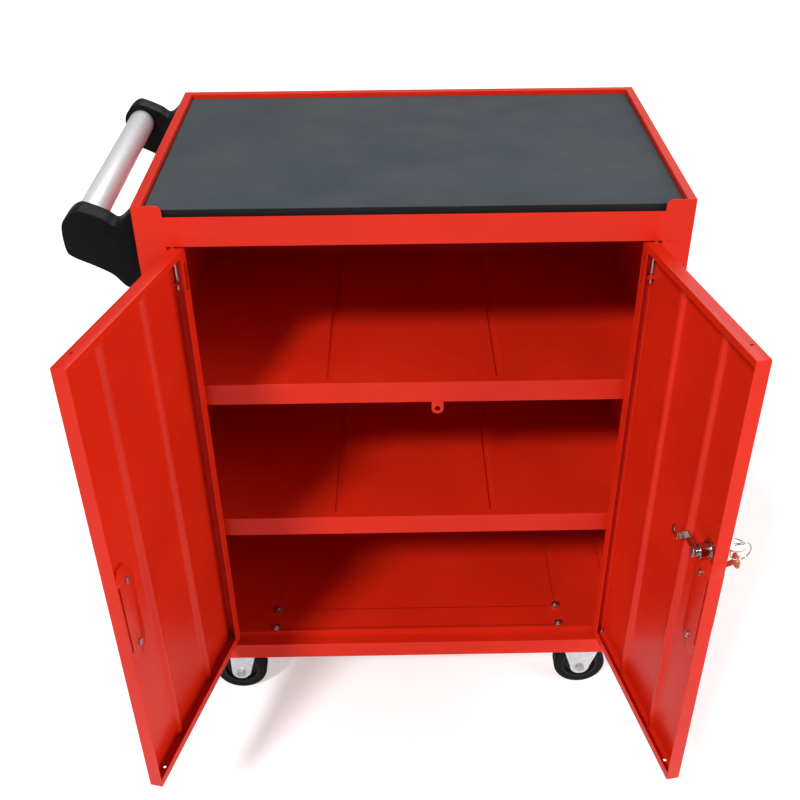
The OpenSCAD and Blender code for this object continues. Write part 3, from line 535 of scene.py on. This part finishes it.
def settle(piece, body, slot, *nodes):
    only(piece)
    bpy.ops.object.transform_apply(location=True, rotation=True, scale=True)
    piece.data.materials.clear()
    piece.data.materials.append(materials[slot])
    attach(piece, body)
    if nodes:
        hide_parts(*nodes)


# sheet, plastic and turned parts: merged copies of the frame's solids with rounded edges

smoothBelow = 32
# angles in degrees, lengths in metres; what lies beside a slim edge is narrower than "slim"
rounding = {
    "merge": 0.000004, "flat": 0.7, "quadFace": 0.02, "quadShape": 3.1,
    "short": 0.0004, "slim": 0.004, "creaseFrom": 30, "foldFrom": 56, "thinFrom": 34,
    "sheet": 1, "innerLeast": 0.3, "segments": 3, "flatWeight": 100,
}
# name: radius of a fold, of a thin edge and of a shallow crease, in millimetres
softEdges = {
    "left_side_panel": (1.15, 0.12, 1), "right_side_panel": (1.15, 0.12, 1),
    "back_panel": (0.5, 0.3, 0.5),
    "floor_pan": (1.15, 0.3, 1), "floor_channels": (1.15, 0.3, 1), "worktop_tray": (1.15, 0.25, 1),
    "worktop_mat": (1.3, 0.5, 1), "upper_shelf": (1.15, 0.3, 1.6), "lower_shelf": (1.15, 0.3, 1.6),
    "left_door_leaf": (0.95, 0.3, 2.2),
    "shelf_brackets": (0.4, 0.3, 0.4), "catch_tab": (0.5, 0.3, 0.4),
    "handle_arms": (1.6, 0.8, 1.6),
    "handle_tube": (0.6, 0.4, 0.4), "handle_bolts": (0.6, 0.3, 0.3), "left_pull": (0.6, 0.4, 0.4),
    "right_pull": (0.6, 0.4, 0.4), "left_pull_plate": (0.5, 0.25, 0.5),
    "right_pull_plate": (0.5, 0.25, 0.5),
    "left_pull_screws": (0.4, 0.2, 0.2), "right_pull_screws": (0.4, 0.2, 0.2),
    "lock_barrel": (0.6, 0.4, 0.4),
    "lock_nut": (0.4, 0.3, 0.3), "lock_strap": (0.3, 0.15, 0.3), "lock_plug": (0.5, 0.3, 0.3),
    "lock_cam": (0.5, 0.4, 0.5), "cam_bolt": (0.8, 0.3, 0.4), "key": (0.5, 0.3, 0.3),
    "spare_key": (0.5, 0.3, 0.3), "caster_plates": (0.8, 0.5, 0.5),
    "caster_bolts": (0.6, 0.3, 0.3),
    "caster_nuts": (0.6, 0.3, 0.3), "swivel_races": (1.4, 0.5, 0.5), "kingpins": (0.8, 0.4, 0.4),
    "fixed_forks": (0.9, 0.45, 0.8), "front_swivel_fork": (0.9, 0.45, 0.8),
    "rear_swivel_fork": (0.9, 0.45, 0.8),
    "fixed_axles": (0.4, 0.3, 0.3), "front_swivel_axle": (0.4, 0.3, 0.3),
    "rear_swivel_axle": (0.4, 0.3, 0.3),
}


# these have faces with openings in them, which a limited dissolve would close
framed = {
    "worktop_tray", "left_side_panel", "right_side_panel", "upper_shelf", "lower_shelf",
    "floor_channels", "floor_pan", "lock_barrel", "lock_cam", "lock_nut",
    "fixed_axles", "front_swivel_axle", "rear_swivel_axle",
}


def isWide(edge):
    return edge.calc_length() > rounding["short"] and narrow(edge) > rounding["slim"]


def isCrease(edge):
    return rounding["creaseFrom"] < bend(edge) <= rounding["foldFrom"] and isWide(edge)


def isOuterFold(edge):
    return bend(edge) > rounding["foldFrom"] and isWide(edge) and edge.is_convex


def isInnerFold(edge):
    return bend(edge) > rounding["foldFrom"] and isWide(edge) and not edge.is_convex


def isThinEdge(edge):
    long = edge.calc_length() > rounding["short"]
    return bend(edge) > rounding["thinFrom"] and long and narrow(edge) <= rounding["slim"]


def roundedCopy(node):
    fold, thin, crease = softEdges[node]
    widest = max(fold, thin, crease)
    innerFold = max(rounding["innerLeast"], fold - rounding["sheet"])
    source = frame["nodes"][node]
    piece = bpy.data.objects.new(node + "_rounded", source.data.copy())
    scene.collection.objects.link(piece)
    only(piece)
    bpy.ops.mesh.customdata_custom_splitnormals_clear()
    edit(piece)
    bpy.ops.mesh.select_all(action="SELECT")
    bpy.ops.mesh.remove_doubles(threshold=rounding["merge"])
    if node in framed:
        bpy.ops.mesh.tris_convert_to_quads(
            face_threshold=rounding["quadFace"], shape_threshold=rounding["quadShape"])
    else:
        bpy.ops.mesh.dissolve_limited(angle_limit=math.radians(rounding["flat"]))
    bpy.ops.mesh.normals_make_consistent(inside=False)
    for radius, test in (
        (crease, isCrease), (fold, isOuterFold), (innerFold, isInnerFold), (thin, isThinEdge),
    ):
        pick(piece, "EDGE", test)
        bpy.ops.transform.edge_bevelweight(value=radius / widest)
    applied(piece, "BEVEL", width=widest * mm, segments=rounding["segments"],
            limit_method="WEIGHT", use_clamp_overlap=False)
    smooth(piece)
    if node in framed:
        applied(piece, "WEIGHTED_NORMAL", keep_sharp=True, weight=rounding["flatWeight"])
    settle(piece, source["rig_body"], slotOf[node], node)


for node in softEdges:
    roundedCopy(node)


# the right leaf is the left one mirrored and turned to its own opening angle

opening = {"left": 104.7, "right": 101.4}
pivots = {
    joint["name"]: Vector(joint["pos_m"]) for joint in frame["joints"] if "pos_m" in joint
}
hingeLeft, hingeRight = pivots["left_door_hinge"], pivots["right_door_hinge"]
leftLeaf = bpy.data.objects["left_door_leaf_rounded"]
rightLeaf = bpy.data.objects.new("right_door_panel", leftLeaf.data.copy())
scene.collection.objects.link(rightLeaf)
only(rightLeaf)
rightLeaf.scale.x = -1
rightLeaf.location.x = hingeLeft.x + hingeRight.x
bpy.ops.object.transform_apply(location=True, rotation=True, scale=True)
rightLeaf.location = hingeRight
rightLeaf.rotation_euler.z = math.radians(opening["right"] - opening["left"])
rightLeaf.data.transform(Matrix.Translation(-hingeRight))
settle(rightLeaf, "right_door", "red_paint", "right_door_leaf")
print("stage: rounded copies")


# the mat lies higher than its solid and reaches the front edge

matShape = {"raise": 4.5, "reach": 8.5}
mat = bpy.data.objects["worktop_mat_rounded"]
heart = sum((Vector(corner) for corner in mat.bound_box), Vector()) / len(mat.bound_box)
edit(mat)
pick(mat, "VERT", lambda vert: vert.co.z > heart.z)
bpy.ops.transform.translate(value=(0, 0, matShape["raise"] * mm))
pick(mat, "VERT", lambda vert: vert.co.y < heart.y)
bpy.ops.transform.translate(value=(0, -matShape["reach"] * mm, 0))
only(mat)


# turned bushings that the doors stand on, one on each end of the ledge, in millimetres

bushing = {
    "across": 7.4, "bore": 4.2, "tall": 8.4, "neck": 6.0, "round": 0.5,
    "underDoor": 11, "sides": 32, "sharp": 60, "level": 0.9,
}
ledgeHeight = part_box("left_door_leaf")[0].z - bushing["underDoor"] * mm
for side, pivot in (("left", hingeLeft), ("right", hingeRight)):
    foot = Vector((pivot.x, pivot.y, ledgeHeight + bushing["tall"] * mm / 2))
    bpy.ops.object.select_all(action="DESELECT")
    bpy.ops.mesh.primitive_cylinder_add(
        vertices=bushing["sides"], radius=bushing["across"] * mm / 2,
        depth=bushing["tall"] * mm, location=foot)
    piece = bpy.context.object
    piece.name = side + "_foot_bushing"
    bpy.ops.object.transform_apply(location=True, rotation=True, scale=True)
    edit(piece)
    pick(piece, "FACE", lambda face: abs(face.normal.z) > bushing["level"])
    bpy.ops.mesh.inset(thickness=(bushing["across"] - bushing["bore"]) / 2 * mm)
    bpy.ops.mesh.bridge_edge_loops()
    pick(piece, "VERT", lambda vert: vert.co.z > foot.z)
    taper = bushing["neck"] / bushing["across"]
    bpy.ops.transform.resize(value=(taper, taper, 1), center_override=foot)
    applied(piece, "BEVEL", width=bushing["round"] * mm, segments=3, limit_method="ANGLE",
            angle_limit=math.radians(bushing["sharp"]))
    smooth(piece)
    settle(piece, frame["nodes"]["floor_pan"]["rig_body"], "red_paint")
print("stage: mat and bushings")
